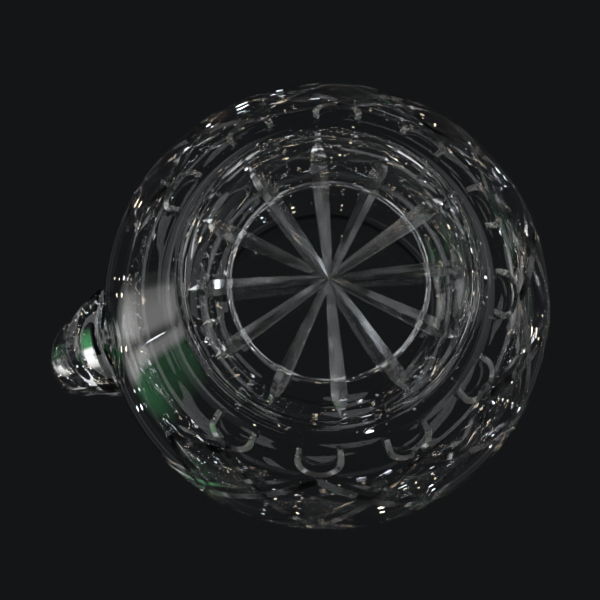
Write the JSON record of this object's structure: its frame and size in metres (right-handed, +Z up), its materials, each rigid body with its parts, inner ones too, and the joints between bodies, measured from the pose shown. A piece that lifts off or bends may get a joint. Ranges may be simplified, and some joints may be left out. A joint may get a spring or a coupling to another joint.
{
  "type": "cut crystal pitcher",
  "caption": "Clear cut glass pitcher with a round belly, star-cut base, crossed mitre cuts, plain neck, pouring lip and a side handle.",
  "frame": {"origin": "middle of the flat that the pitcher stands on", "axes": "+Z up, +X towards the pouring lip, handle on -X"},
  "size_m": [0.1648, 0.14, 0.1979],
  "materials": {
    "crystal": "clear lead crystal, fire polished, with bright mitre cuts",
    "handle_crystal": "clear lead crystal, drawn hot and left uncut"
  },
  "bodies": {
    "root": {"body": "crystal", "handle": "handle_crystal"}
  },
  "joints": []
}
